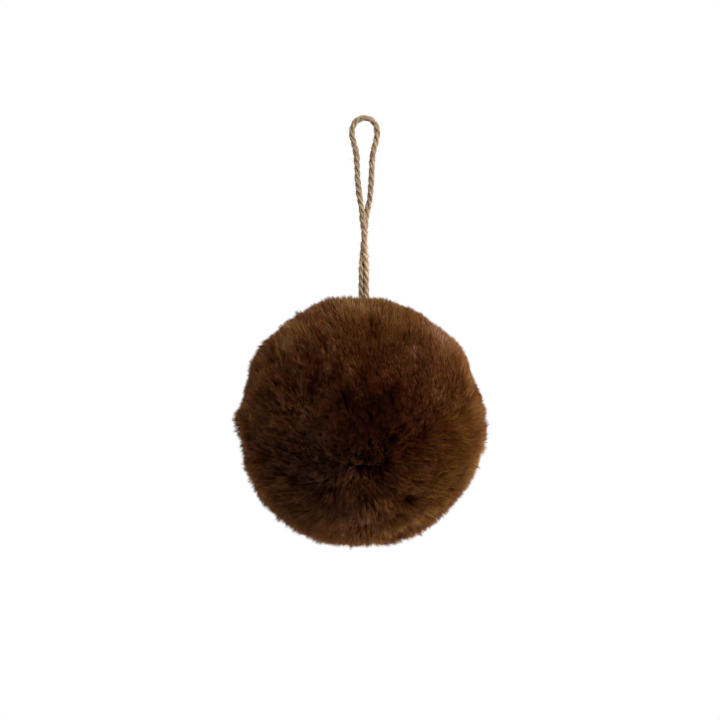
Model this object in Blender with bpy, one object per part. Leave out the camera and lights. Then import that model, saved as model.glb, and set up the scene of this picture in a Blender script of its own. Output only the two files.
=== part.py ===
"""A hanging pom pom: a clipped faux-fur ball on a loop of jute twine.

Metres, +Z up.  The origin is the inner top of the twine's crown, where a hook or a
branch would carry it, and the ball hangs below it.  +X is the right of the front
view and -Y is the front.
"""

import math

import bpy
from mathutils import Vector

MM = 0.001

# ---- driving dimensions -----------------------------------------------------------

BALL_DIAMETER = 100.0 * MM          # over the tips of the clipped pile
BALL_SHIFT = -1.0 * MM              # the ball hangs a little left of the twine
BALL_LEVELS = 5                     # subdivisions: its points are 3 mm apart
FLAT_SPOT_HEIGHT = 0.45 * MM        # how much of the underside is pressed flat
LOOP_DROP = 70.0 * MM               # inner top of the loop to the top of the pile

TWINE_DIAMETER = 2.4 * MM
TWINE_STEP = 2.2 * MM               # between the points of the tube
TWINE_SIDES = 2                     # bevel resolution: a tube of 8 sides
TWINE_CLEARANCE = 0.3 * MM          # from the twine's ends to the pile
CURVE_SAMPLES = 16                  # readings of the smooth curve between two rows

FUR_COLOUR = (0.070, 0.026, 0.010)
TWINE_COLOUR = (0.36, 0.25, 0.14)

BALL_RADIUS = BALL_DIAMETER / 2
BALL_CENTRE = Vector((BALL_SHIFT, 0.0, -(LOOP_DROP + BALL_RADIUS)))
CROWN = Vector((0.0, 0.0, TWINE_DIAMETER / 2))

# Where the pile stands proud of the ball or has sunk into it.  "round" is the angle
# seen from the front, from +X towards +Z; "forward" turns the bump out of that
# plane, towards the front; "width" is the angle over which it fades out.
BUMPS = (
    # name                 round  forward  width   rise mm
    ("crown left",           106,       0,    24,   1.1),
    ("upper left shoulder",  147,       6,    11,   1.5),
    ("upper left dip",       165,       0,     8,  -1.1),
    ("left tuft",            180,       4,     6,   1.7),
    ("left dip",             190,      -4,     7,  -1.2),
    ("lower left cheek",     224,       0,    22,   1.5),
    ("lower left foot",      250,      10,    16,   1.3),
    ("lower right foot",     289,       0,    16,   1.0),
    ("lower right flat",     324,       0,    18,  -0.6),
    ("right waist",           22,       0,    12,  -2.2),
    ("upper right flat",      51,       0,    12,  -1.2),
    ("upper right dip",       70,       0,     8,  -0.8),
    ("front cheek",          330,      62,    26,   0.9),
    ("front fold",           300,      40,    10,  -0.9),
    ("front left swell",     170,      50,    22,   0.7),
    ("front brow dip",        95,      48,    18,  -0.7),
    ("back left swell",      150,     -50,    24,   0.8),
    ("back dip",             250,     -62,    20,  -1.0),
    ("back right swell",      20,     -42,    26,   0.8),
    ("back low dip",         300,     -35,    16,  -0.8),
    ("parting at the twine",  89,       0,     8,  -1.6),
)

# The twine's route up one leg, from just above the pile to just below the crown.  The
# other leg is the same row turned half way round the loop's middle line, and "turn" is
# how far the two have twisted round each other: at 90 one passes behind the other.
LEG = (
    # height mm  middle mm  half gap mm  turn
    (-64.0,      -0.30,     1.40,        170),
    (-60.0,      -0.25,     1.40,        164),
    (-56.0,      -0.20,     1.40,        146),
    (-52.0,      -0.15,     1.38,        118),
    (-48.6,      -0.05,     1.36,         99),
    (-45.2,       0.00,     1.36,         84),
    (-41.8,      -0.05,     1.40,         65),
    (-38.4,      -0.10,     1.46,         44),
    (-35.0,       0.00,     1.62,         24),
    (-31.6,       0.10,     1.98,         10),
    (-27.6,       0.05,     2.40,          3),
    (-22.8,       0.00,     2.80,          0),
    (-16.4,       0.00,     3.05,          0),
    (-12.0,       0.05,     3.55,          0),
    ( -8.4,       0.05,     4.50,          0),
    ( -5.0,       0.00,     5.05,          0),
    ( -1.8,       0.00,     4.50,          0),
    (  0.4,       0.00,     2.70,          0),
)
# The foot of a leg, where it goes into the pile; its height comes from the pile.
FOOT_MIDDLE = -0.30 * MM
FOOT_HALF_GAP = 1.40 * MM
FOOT_TURN = 172


# ---- helpers ------------------------------------------------------------------------

def clear_scene():
    for leftover in list(bpy.data.objects):
        bpy.data.objects.remove(leftover, do_unlink=True)


def cloth_material(name, colour, roughness):
    made = bpy.data.materials.new(name)
    made.use_nodes = True
    shader = made.node_tree.nodes["Principled BSDF"]
    shader.inputs["Base Color"].default_value = (*colour, 1.0)
    shader.inputs["Roughness"].default_value = roughness
    shader.inputs["Metallic"].default_value = 0.0
    made.diffuse_color = (*colour, 1.0)
    return made


def smooth_curve(route):
    """Close points on one smooth curve through the route's points."""
    padded = [2 * route[0] - route[1], *route, 2 * route[-1] - route[-2]]
    points = []
    for before, start, end, after in zip(padded, padded[1:], padded[2:], padded[3:]):
        for sample in range(CURVE_SAMPLES):
            t = sample / CURVE_SAMPLES
            bend = 2 * before - 5 * start + 4 * end - after
            twist = 3 * start - before - 3 * end + after
            points.append(start + ((end - before) * t + bend * t ** 2 + twist * t ** 3) / 2)
    points.append(route[-1])
    return points


def evenly_spaced(points, step):
    """Points about one step apart along a line of close points."""
    along = [0.0]
    for start, end in zip(points, points[1:]):
        along.append(along[-1] + (end - start).length)
    count = round(along[-1] / step)
    spaced = []
    place = 0
    for index in range(count + 1):
        wanted = along[-1] * index / count
        while place < len(points) - 2 and along[place + 1] < wanted:
            place += 1
        share = (wanted - along[place]) / (along[place + 1] - along[place])
        spaced.append(points[place].lerp(points[place + 1], share))
    return spaced


# ---- the ball -------------------------------------------------------------------------

def bump_direction(round_deg, forward_deg):
    around = math.radians(round_deg)
    forward = math.radians(forward_deg)
    return Vector((math.cos(around) * math.cos(forward),
                   -math.sin(forward),
                   math.sin(around) * math.cos(forward)))


def pile_radius(direction):
    """How far the pile reaches from the ball's centre along a direction."""
    reach = BALL_RADIUS
    for _, round_deg, forward_deg, width_deg, rise in BUMPS:
        apart = math.degrees(direction.angle(bump_direction(round_deg, forward_deg)))
        reach += rise * MM * math.exp(-(apart / width_deg) ** 2)
    return reach


def fur_ball():
    bpy.ops.mesh.primitive_ico_sphere_add(subdivisions=BALL_LEVELS, radius=1.0)
    ball = bpy.context.object
    ball.name = "fur_ball"
    flat_spot = -BALL_RADIUS + FLAT_SPOT_HEIGHT
    for vertex in ball.data.vertices:
        direction = vertex.co.normalized()
        vertex.co = direction * pile_radius(direction)
        vertex.co.z = max(vertex.co.z, flat_spot)
    ball.location = BALL_CENTRE
    ball.data.shade_smooth()
    ball.data.materials.append(cloth_material("faux_fur", FUR_COLOUR, 0.95))
    return ball


# ---- the twine loop -------------------------------------------------------------------

def twisted_place(side, middle, half_gap, turn_deg):
    """Where a leg is in plan; side is +1 for the leg that starts on the right."""
    turn = math.radians(turn_deg)
    return middle + side * half_gap * math.cos(turn), side * half_gap * math.sin(turn)


def leg_points(side):
    return [Vector((*twisted_place(side, middle * MM, half_gap * MM, turn), height * MM))
            for height, middle, half_gap, turn in LEG]


def pile_height(x, y):
    """The height of the pile at the top of the ball, over a place in plan."""
    direction = (Vector((x, y, -LOOP_DROP)) - BALL_CENTRE).normalized()
    return BALL_CENTRE.z + pile_radius(direction) * direction.z


def foot_point(side):
    """The end of a leg, just clear of the highest pile under it."""
    x, y = twisted_place(side, FOOT_MIDDLE, FOOT_HALF_GAP, FOOT_TURN)
    reach = TWINE_DIAMETER / 2
    under = [pile_height(x + reach * across, y + reach * along)
             for across in (-1, 0, 1) for along in (-1, 0, 1)]
    return Vector((x, y, max(under) + TWINE_CLEARANCE))


def hanging_loop():
    route = [foot_point(1), *leg_points(1), CROWN, *reversed(leg_points(-1)), foot_point(-1)]
    points = evenly_spaced(smooth_curve(route), TWINE_STEP)
    curve = bpy.data.curves.new("hanging_loop", "CURVE")
    curve.dimensions = "3D"
    curve.bevel_depth = TWINE_DIAMETER / 2
    curve.bevel_resolution = TWINE_SIDES
    curve.use_fill_caps = True
    spline = curve.splines.new("POLY")
    spline.points.add(len(points) - 1)
    for place, point in zip(spline.points, points):
        place.co = (*point, 1.0)
    curve.materials.append(cloth_material("jute_twine", TWINE_COLOUR, 0.9))
    loop = bpy.data.objects.new("hanging_loop", curve)
    bpy.context.collection.objects.link(loop)
    return loop


clear_scene()
fur_ball()
hanging_loop()
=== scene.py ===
# %% [markdown]
# # A faux-fur pom pom on a jute loop
#
# The real object is a ball of clipped acrylic pile, 100 mm across, which hangs on a
# loop of plied jute twine.  Its shape is simple and its surface is not, so this lesson
# spends its time on the pile: hundreds of thousands of fine fibres that lean, gather in
# tufts and part, dark at the root and golden at the tip.  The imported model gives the
# envelope of the pile, the twine repeats the model's route, and the rest fits to these.

import math

import bpy
import bmesh
import numpy as np
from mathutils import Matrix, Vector
from mathutils.bvhtree import BVHTree
from mathutils.kdtree import KDTree


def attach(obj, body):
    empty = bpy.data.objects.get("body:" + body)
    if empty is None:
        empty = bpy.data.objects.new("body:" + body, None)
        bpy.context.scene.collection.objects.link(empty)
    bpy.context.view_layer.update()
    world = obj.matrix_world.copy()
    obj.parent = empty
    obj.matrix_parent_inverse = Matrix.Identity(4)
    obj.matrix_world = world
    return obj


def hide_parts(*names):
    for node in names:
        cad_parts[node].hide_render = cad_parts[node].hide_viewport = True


MM = 0.001

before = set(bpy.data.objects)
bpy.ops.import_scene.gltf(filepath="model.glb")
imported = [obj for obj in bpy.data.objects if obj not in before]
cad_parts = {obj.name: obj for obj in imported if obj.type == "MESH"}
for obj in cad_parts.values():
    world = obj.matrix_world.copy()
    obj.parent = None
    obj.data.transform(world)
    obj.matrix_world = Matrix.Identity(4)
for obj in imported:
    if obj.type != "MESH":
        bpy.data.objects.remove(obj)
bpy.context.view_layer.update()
BALL_RADIUS = 50.0 * MM                     # over the clipped tips, as the model says
BALL_CENTRE = Vector((-1.0, 0.0, -120.0)) * MM

# %% [markdown]
# ## Helpers
#
# Colours are written as the hex values that a paint program shows, and one function
# turns them into the linear values that shaders need.  Another fills a node's inputs with
# numbers, colours or links, and a third adds a node, sets its settings and fills it.  A
# material's main shader is there from the start, so it only has to be filled.

# %% Colour and node helpers
def hex_colour(text):
    """The linear RGBA of an sRGB hex colour."""
    channels = [int(text[place:place + 2], 16) / 255 for place in (1, 3, 5)]
    return tuple(c / 12.92 if c <= 0.04045 else ((c + 0.055) / 1.055) ** 2.4
                 for c in channels) + (1.0,)


def fill(node, **inputs):
    """Fills a node's inputs.  An input is named, or numbered as in _0, and its value is a
    constant or another node's output socket."""
    for name, value in inputs.items():
        numbered = name[1:].isdigit()
        socket = node.inputs[int(name[1:]) if numbered else name.replace("_", " ")]
        if isinstance(value, bpy.types.NodeSocket):
            node.id_data.links.new(value, socket)
        else:
            socket.default_value = value


def add_node(tree, kind, settings=None, stops=None, **inputs):
    """A new node with its settings and inputs.  The stops of a colour ramp are rows of a
    place between 0 and 1 and a hex colour, from left to right."""
    node = tree.nodes.new(kind)
    for name, value in (settings or {}).items():
        setattr(node, name, value)
    if stops:
        elements = node.color_ramp.elements
        elements.remove(elements[1])
        for number, (place, colour) in enumerate(stops):
            stop = elements.new(place) if number else elements[0]
            stop.position = place
            stop.color = hex_colour(colour)
    fill(node, **inputs)
    return node


def new_material(name):
    """An empty Principled material: itself, its tree and its shader."""
    made = bpy.data.materials.new(name)
    made.use_nodes = True
    return made, made.node_tree, made.node_tree.nodes["Principled BSDF"]


def add_object(name, data):
    """A new object at the origin.  A piece has its place in its mesh and stays there."""
    added = bpy.data.objects.new(name, data)
    bpy.context.scene.collection.objects.link(added)
    return added


print("middle grey in linear light:", round(hex_colour("#808080")[0], 3))

# %% [markdown]
# ## The camera
#
# The ball is seen straight on from its own front, so a long lens a metre away keeps its
# outline as round as it is.  One picture pixel covers 0.4 mm at the ball.  The picture's
# centre is a little left of the twine and well above the ball's middle.

# %% The camera
PIXEL = 0.4 * MM                            # what one of the 720 pixels covers
PICTURE = 720
TWINE_COLUMN = 364.5                        # the pixel column of the twine
LOOP_ROW = 121.0                            # the pixel row of the loop's inner top
SENSOR = 36.0
LENS = 135.0

camera = add_object("camera", bpy.data.cameras.new("camera"))
camera.data.sensor_width = SENSOR
camera.data.lens = LENS
camera_distance = PICTURE * PIXEL * LENS / SENSOR
camera.location = ((PICTURE / 2 - TWINE_COLUMN) * PIXEL, -camera_distance,
                   (LOOP_ROW - PICTURE / 2) * PIXEL)
camera.rotation_euler = (math.radians(90), 0, 0)
camera.data.clip_start = 0.01
bpy.context.scene.camera = camera
print("camera distance in m:", round(camera_distance, 3))

# %% [markdown]
# ## The light and the paper
#
# Pile looks deep because light reaches its tips and hardly its roots, so it matters more
# where the light comes from than how much there is.  One big lamp would leave half of the
# ball black.  So white soft boxes stand round it: the strongest high on the right and in
# front, the others above, at the sides and behind.  The world is white for the camera,
# but gives next to no light, because light from all round would flatten the tufts.  Far
# below lies a sheet of matt white paper, which throws a little light back up.

# %% The soft boxes
def soft_box(name, place, size, power):
    """A square soft box that faces the ball."""
    lamp = bpy.data.lights.new(name, "AREA")
    lamp.shape = "SQUARE"
    lamp.size = size
    lamp.energy = power
    holder = add_object(name, lamp)
    holder.location = place
    aim = BALL_CENTRE - holder.location
    holder.rotation_euler = aim.to_track_quat("-Z", "Y").to_euler()
    holder.visible_camera = False


SOFT_BOXES = (
    # name              place in metres         size  watts
    ("upper_right",     (0.35, -0.40, 0.20),    0.40,  4.0),
    ("right",           (0.60, -0.05, -0.05),   0.40,  1.0),
    ("top",             (0.00, -0.05, 0.50),    0.50,  3.0),
    ("low_right",       (0.50, -0.05, -0.18),   0.20,  2.2),
    ("left",            (-0.60, -0.05, -0.05),  0.40,  1.0),
    ("left_back",       (-0.50, 0.40, 0.05),    0.40,  1.5),
    ("back",            (0.15, 0.70, 0.10),     0.50,  2.5),
)
for box in SOFT_BOXES:
    soft_box(*box)
print("soft boxes:", len(SOFT_BOXES), "watts in all:", round(sum(box[3] for box in SOFT_BOXES), 1))

# %% The white world
WORLD_LIGHT = 0.02                          # of the white that the camera sees
world = bpy.data.worlds.new("studio_white")
bpy.context.scene.world = world
world.use_nodes = True
sky = world.node_tree
sky.nodes.clear()
rays = add_node(sky, "ShaderNodeLightPath")
ambient = add_node(sky, "ShaderNodeBackground", Color=hex_colour("#ffffff"), Strength=WORLD_LIGHT)
white = add_node(sky, "ShaderNodeBackground", Color=hex_colour("#ffffff"), Strength=1.0)
mixed = add_node(sky, "ShaderNodeMixShader", _0=rays.outputs["Is Camera Ray"],
                 _1=ambient.outputs[0], _2=white.outputs[0])
add_node(sky, "ShaderNodeOutputWorld", Surface=mixed.outputs[0])
bpy.context.scene.view_settings.view_transform = "Standard"
print("the world lights with", WORLD_LIGHT, "of its white")

# %% The paper floor
FLOOR_LEVEL = -0.29                         # below the picture's bottom edge
FLOOR_RADIUS = 0.36                         # and its back edge stays below it too
PAPER_GRAIN = 0.8                           # mm; drawn coarser than the real tooth
form = bmesh.new()
bmesh.ops.create_circle(form, cap_ends=True, segments=128, radius=FLOOR_RADIUS)
bmesh.ops.translate(form, verts=form.verts, vec=(0, 0, FLOOR_LEVEL))
floor_mesh = bpy.data.meshes.new("floor")
form.to_mesh(floor_mesh)
form.free()
floor = add_object("floor", floor_mesh)

paper, tree, shader = new_material("matt_white_paper")
place = add_node(tree, "ShaderNodeTexCoord")
tooth = add_node(tree, "ShaderNodeTexNoise", Vector=place.outputs["Object"],
                 Scale=1 / (PAPER_GRAIN * MM), Detail=2.0)
bleached = add_node(tree, "ShaderNodeValToRGB", Fac=tooth.outputs["Fac"],
                    stops=((0.3, "#edecea"), (0.7, "#f1f0ee")))
matt = add_node(tree, "ShaderNodeMapRange", Value=tooth.outputs["Fac"], To_Min=0.95, To_Max=0.85)
uneven = add_node(tree, "ShaderNodeBump", Strength=0.2, Distance=0.03 * MM,
                  Height=tooth.outputs["Fac"])
fill(shader, Base_Color=bleached.outputs["Color"], Roughness=matt.outputs["Result"],
     Normal=uneven.outputs["Normal"])
floor_mesh.materials.append(paper)
print("floor level in m:", FLOOR_LEVEL)

# %% [markdown]
# ## Fibres as slim leaves
#
# The pile and the loose hairs of the twine are far too thin and too many to be round
# tubes.  Blender's hair system would draw them, but only in Blender.  So each fibre is a
# slim leaf of two triangles: a point at its root, two corners at its bend and a point at
# its tip, turned at random round its own length, so that a crowd of them has no flat
# side.  Its UV map tells its shader two things: across, in a strip far narrower than the
# map, which shade the fibre has, and up, how far from the root a point is.

# %% One mesh of many fibres
UV_STRIP = 0.002                            # half the width of a fibre's strip in the UV map
FIBRE_FACES = np.array(((0, 2, 1), (1, 2, 3)))


def unit(vectors):
    """The vectors, each made one long."""
    return vectors / np.linalg.norm(vectors, axis=-1, keepdims=True)


def fibres(name, points, facing, widths, shades, tips, bends, made_of, seed):
    """A mesh of leaves from the places of all roots, all bends and all tips, with their
    flat sides turned at random, but the more towards facing, the longer it is."""
    count = len(points[0])
    draw = np.random.default_rng(seed)
    turned = facing + draw.normal(size=(count, 3))
    across = unit(np.cross(points[2] - points[0], turned))
    half = across * widths[:, None] / 2
    corners = np.stack((points[0], points[1] - half, points[1] + half, points[2]),
                       axis=1).reshape(-1, 3)
    faces = (FIBRE_FACES[None] + 4 * np.arange(count)[:, None, None]).reshape(-1, 3)
    mesh = bpy.data.meshes.new(name)
    mesh.vertices.add(len(corners))
    mesh.vertices.foreach_set("co", corners.astype(np.float32).ravel())
    mesh.loops.add(faces.size)
    mesh.loops.foreach_set("vertex_index", faces.ravel().astype(np.int32))
    mesh.polygons.add(len(faces))
    mesh.polygons.foreach_set("loop_start", np.arange(0, faces.size, 3, dtype=np.int32))
    mesh.update(calc_edges=True)
    side = np.array((0, -1, 1, 0)) * UV_STRIP
    height = np.stack((np.zeros(count), tips * bends, tips * bends, tips), axis=1)
    pairs = np.stack((shades[:, None] + side, height), axis=2)
    uv = mesh.uv_layers.new(name="OFBake")
    uv.uv.foreach_set("vector", pairs.reshape(-1, 2)[faces.ravel()].astype(np.float32).ravel())
    mesh.materials.append(made_of)
    return add_object(name, mesh)


print("triangles in a fibre:", len(FIBRE_FACES))

# %% [markdown]
# ## The twine
#
# The loop is household jute twine, 2.4 mm thick: three plies laid up so that each runs
# from upper left to lower right across the front, which a rope maker calls an S lay.  It
# comes up out of the pile as two legs side by side.  They cross once, part again and meet
# over the crown.  A Screw modifier makes a straight rope quickly, but this one bends and
# crosses, so three plain curves are wound round the route and given a round bevel.  Their
# thickness wavers a little, as that of a hand-spun yarn does.

# %% The twine's route, as in the model
TWINE_DIAMETER = 2.4 * MM
SQUEEZE = 0.45                              # mm: how far each of the limp legs gives way
SQUEEZED_UNDER = 1.9                        # mm of half gap; further apart they hang free
SQUEEZE_FADE = 0.4                          # mm of half gap over which it sets in
LEG = (
    # height mm  middle mm  half gap mm  turn
    (-80.0,      -0.30,     1.30,        180),
    (-75.0,      -0.30,     1.35,        176),
    (-70.4,      -0.30,     1.40,        172),
    (-64.0,      -0.30,     1.40,        170),
    (-60.0,      -0.25,     1.40,        164),
    (-56.0,      -0.20,     1.40,        146),
    (-52.0,      -0.15,     1.38,        118),
    (-48.6,      -0.05,     1.36,         99),
    (-45.2,       0.00,     1.36,         84),
    (-41.8,      -0.05,     1.40,         65),
    (-38.4,      -0.10,     1.46,         44),
    (-35.0,       0.00,     1.62,         24),
    (-31.6,       0.10,     1.98,         10),
    (-27.6,       0.05,     2.40,          3),
    (-22.8,       0.00,     2.80,          0),
    (-16.4,       0.00,     3.05,          0),
    (-12.0,       0.05,     3.55,          0),
    ( -8.4,       0.05,     4.50,          0),
    ( -5.0,       0.00,     5.05,          0),
    ( -1.8,       0.00,     4.50,          0),
    (  0.4,       0.00,     2.70,          0),
)
CROWN = np.array((0.0, 0.0, TWINE_DIAMETER / 2))
RING_STEP = 0.35 * MM                       # between the rings of the mesh


def leg_route(side):
    """The points up one leg; side is +1 for the leg that starts on the right."""
    height, middle, half_gap, turn = np.array(LEG).T
    half_gap = half_gap - SQUEEZE * np.clip((SQUEEZED_UNDER - half_gap) / SQUEEZE_FADE, 0, 1)
    turn = np.radians(turn)
    return np.column_stack((middle + side * half_gap * np.cos(turn),
                            side * half_gap * np.sin(turn), height)) * MM


def smooth_route(route, samples=24):
    """Close points on one smooth curve through the route's points."""
    padded = np.vstack((2 * route[0] - route[1], route, 2 * route[-1] - route[-2]))
    before, start, end, after = padded[:-3], padded[1:-2], padded[2:-1], padded[3:]
    t = (np.arange(samples) / samples)[None, :, None]
    before, start, end, after = (p[:, None, :] for p in (before, start, end, after))
    bend = 2 * before - 5 * start + 4 * end - after
    twist = 3 * start - before - 3 * end + after
    points = start + ((end - before) * t + bend * t ** 2 + twist * t ** 3) / 2
    return np.vstack((points.reshape(-1, 3), route[-1]))


def evenly(points, step):
    """Points one step apart along a line of close points."""
    along = np.concatenate(([0], np.cumsum(np.linalg.norm(np.diff(points, axis=0), axis=1))))
    wanted = np.linspace(0, along[-1], round(along[-1] / step) + 1)
    return np.column_stack([np.interp(wanted, along, points[:, axis]) for axis in range(3)])


twine_route = np.vstack((leg_route(1), CROWN, leg_route(-1)[::-1]))
centreline = evenly(smooth_route(twine_route), RING_STEP)
twine_length = float(np.linalg.norm(np.diff(centreline, axis=0), axis=1).sum())
print("twine length in mm:", round(twine_length / MM, 1))

# %% Three plies laid round the route
PLIES = 3
PLY_RADIUS = 0.65 * MM
PLY_OFFSET = 0.56 * MM                      # from the twine's middle to a ply's middle
LAY_LENGTH = 9.9 * MM                       # of one turn of the plies
WAVER = 0.07                                # of a ply's thickness, more or less


def carried_frames(points):
    """Tangents of a line, with a sideways and a third axis that never spin round it."""
    tangent = unit(np.gradient(points, axis=0))
    sideways = np.empty_like(tangent)
    side = np.array((0.0, 1.0, 0.0))
    for number, ahead in enumerate(tangent):
        side = side - ahead * side.dot(ahead)
        side /= np.linalg.norm(side)
        sideways[number] = side
    return tangent, sideways, np.cross(tangent, sideways)


tangent, sideways, third = carried_frames(centreline)
travel = np.arange(len(centreline)) * twine_length / (len(centreline) - 1)
ply_lines = []
for ply in range(PLIES):
    angle = -2 * math.pi * travel / LAY_LENGTH + 2 * math.pi * ply / PLIES
    ply_lines.append(centreline + PLY_OFFSET * (np.cos(angle)[:, None] * sideways
                                                + np.sin(angle)[:, None] * third))


def wavering(seed, waves=9):
    """How thick a ply is along its length, about 1: thick and thin places 4 to 15 mm long."""
    draw = np.random.default_rng(seed)
    total = np.zeros(len(travel))
    for length in draw.uniform(4 * MM, 15 * MM, waves):
        total += np.sin(2 * math.pi * (travel / length + draw.random()))
    return 1 + WAVER * total * math.sqrt(2 / waves)


print("plies:", PLIES, "turns along the twine:", round(twine_length / LAY_LENGTH, 1))

# %% The plies as one mesh
BEVEL_RESOLUTION = 3
PLY_SIDES = 2 * BEVEL_RESOLUTION + 4        # which is what Blender makes of it
PLY_SEED = 60                               # of the first ply's thick and thin places
curve = bpy.data.curves.new("plies", "CURVE")
curve.dimensions = "3D"
curve.bevel_depth = PLY_RADIUS
curve.bevel_resolution = BEVEL_RESOLUTION
curve.use_fill_caps = True
curve.twist_mode = "MINIMUM"
for ply, line in enumerate(ply_lines):
    spline = curve.splines.new("POLY")
    spline.points.add(len(line) - 1)
    places = np.column_stack((line, np.ones(len(line))))
    spline.points.foreach_set("co", places.astype(np.float32).ravel())
    spline.points.foreach_set("radius", wavering(PLY_SEED + ply).astype(np.float32))
holder = add_object("plies", curve)
bpy.context.view_layer.update()
twine_mesh = bpy.data.meshes.new_from_object(
    holder.evaluated_get(bpy.context.evaluated_depsgraph_get()))
bpy.data.objects.remove(holder)
bpy.data.curves.remove(curve)
print("sides of a ply:", PLY_SIDES, "points in the mesh:", len(twine_mesh.vertices))

# %% [markdown]
# The bevel leaves a UV map that runs along each tube and round it, the same for all three.
# The second value is squeezed into a third of the map for each ply, so that no two plies
# share a place in it and the shader can tell them apart.  The caps come as loose discs at
# the beginning of the mesh, and merging the doubles closes the tubes with them.

# %% The plies' places in the UV map
strips = twine_mesh.uv_layers[0]
strips.name = "OFBake"
places = np.empty(2 * len(twine_mesh.loops), dtype=np.float32)
strips.uv.foreach_get("vector", places)
wall_corners = 4 * PLY_SIDES * (len(centreline) - 1)    # of one ply, after all the caps
walls = places[-2 * PLIES * wall_corners:].reshape(PLIES, wall_corners, 2)
walls[:, :, 1] = (walls[:, :, 1] + np.arange(PLIES)[:, None]) / PLIES
strips.uv.foreach_set("vector", places)
form = bmesh.new()
form.from_mesh(twine_mesh)
bmesh.ops.remove_doubles(form, verts=form.verts, dist=0.001 * MM)
form.to_mesh(twine_mesh)
form.free()
twine_mesh.shade_smooth()
twine = add_object("twine_loop", twine_mesh)
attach(twine, "root")
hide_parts("hanging_loop")
print("twine triangles:", sum(len(face.vertices) - 2 for face in twine_mesh.polygons))

# %% [markdown]
# ## Jute
#
# Jute is a coarse bast fibre, greyish tan, with a dull surface that scatters light.  A ply
# is spun from it with a twist against the lay, so its fibres end up nearly in line with
# the whole twine.  The shader unrolls the UV map into a place on a real ply, measured in
# the ply's radius, turned back by that twist and squeezed along its length, and reads
# noise there: long streaks that follow the yarn.  The same noise raises them with a bump
# and makes the dark ones rougher.  Real fibres are 0.05 mm thick, and the streaks are
# drawn four times as coarse, because nothing finer shows.

# %% The jute's place on its ply
STREAK = 0.20                               # mm across; drawn coarser than the real fibre
STREAK_STRETCH = 12                         # times as long as wide
PLY_LENGTH = twine_length / MM * math.hypot(1, 2 * math.pi * PLY_OFFSET / LAY_LENGTH)
BACK_TWIST = 19                             # turns of the fibres round a ply, along it all

jute, tree, shader = new_material("plied_jute")
strip = add_node(tree, "ShaderNodeUVMap", {"uv_map": "OFBake"})
parts = add_node(tree, "ShaderNodeSeparateXYZ", Vector=strip.outputs["UV"])
turns = add_node(tree, "ShaderNodeMath", {"operation": "MULTIPLY"},
                 _0=parts.outputs["Y"], _1=float(PLIES))
ply_number = add_node(tree, "ShaderNodeMath", {"operation": "FLOOR"}, _0=turns.outputs[0])
twisted = add_node(tree, "ShaderNodeMath", {"operation": "MULTIPLY_ADD"},
                   _0=parts.outputs["X"], _1=float(BACK_TWIST), _2=turns.outputs[0])
angle = add_node(tree, "ShaderNodeMath", {"operation": "MULTIPLY"},
                 _0=twisted.outputs[0], _1=2 * math.pi)
cosine = add_node(tree, "ShaderNodeMath", {"operation": "COSINE"}, _0=angle.outputs[0])
sine = add_node(tree, "ShaderNodeMath", {"operation": "SINE"}, _0=angle.outputs[0])
along = add_node(tree, "ShaderNodeMath", {"operation": "MULTIPLY_ADD"},
                 _0=parts.outputs["X"], _1=PLY_LENGTH / (PLY_RADIUS / MM), _2=ply_number.outputs[0])
unrolled = add_node(tree, "ShaderNodeCombineXYZ", X=cosine.outputs[0], Y=sine.outputs[0],
                    Z=along.outputs[0])
stretched = add_node(tree, "ShaderNodeMapping", Vector=unrolled.outputs[0],
                     Scale=(1.0, 1.0, 1 / STREAK_STRETCH))
print("the fibres turn round a ply every", round(PLY_LENGTH / BACK_TWIST, 1), "mm")

# %% [markdown]
# The yarn is patchy, grey in most places and browner in some, because jute is spun from
# more than one bundle.  Light and shade are painted along the twine's length too: it is
# painted lighter over its last centimetres, and painted darker where it goes into the
# pile, as shade.  SHADES says so by height: it multiplies the colour below the first one,
# and leaves it as it is above the second.

# %% The jute's colours
PATCH = 1.857                               # mm: about how long a brown or grey place is
SHADES = (
    # name      below mm  to mm   times as light
    # both rows paint light and shade into the colour: lighter low on the twine, darker as shade
    # where it enters the pile
    ("painted light",     -54.0,  -42.0,  1.7),
    ("painted shade at the pile",   -66.0,  -57.0,  0.68),
)
streaks = add_node(tree, "ShaderNodeTexNoise", Vector=stretched.outputs[0],
                   Scale=PLY_RADIUS / MM / STREAK, Detail=3.0, Roughness=0.65)
patches = add_node(tree, "ShaderNodeTexNoise", Vector=unrolled.outputs[0],
                   Scale=PLY_RADIUS / MM / PATCH, Detail=2.0, Roughness=0.5)
grey = add_node(tree, "ShaderNodeValToRGB", Fac=streaks.outputs["Fac"],
                stops=((0.28, "#68543f"), (0.5, "#957c62"), (0.75, "#bba98f")))
brown = add_node(tree, "ShaderNodeValToRGB", Fac=streaks.outputs["Fac"],
                 stops=((0.28, "#563d2b"), (0.5, "#7b5a3e"), (0.75, "#a5835f")))
patchy = add_node(tree, "ShaderNodeMapRange", Value=patches.outputs["Fac"],
                  From_Min=0.30, From_Max=0.50)
tanned = add_node(tree, "ShaderNodeMix", {"data_type": "RGBA"}, _0=patchy.outputs["Result"],
                  _6=brown.outputs["Color"], _7=grey.outputs["Color"])
jute_colour = tanned.outputs[2]
place = add_node(tree, "ShaderNodeTexCoord")
level = add_node(tree, "ShaderNodeSeparateXYZ", Vector=place.outputs["Object"])
for name, below, above, lightness in SHADES:
    shading = add_node(tree, "ShaderNodeMapRange", {"interpolation_type": "SMOOTHSTEP"},
                       Value=level.outputs["Z"], From_Min=below * MM, From_Max=above * MM,
                       To_Min=lightness, To_Max=1.0)
    toned = add_node(tree, "ShaderNodeVectorMath", {"operation": "SCALE"},
                     Vector=jute_colour, Scale=shading.outputs["Result"])
    jute_colour = toned.outputs["Vector"]
print("shades along the twine:", [row[0] for row in SHADES])

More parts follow.
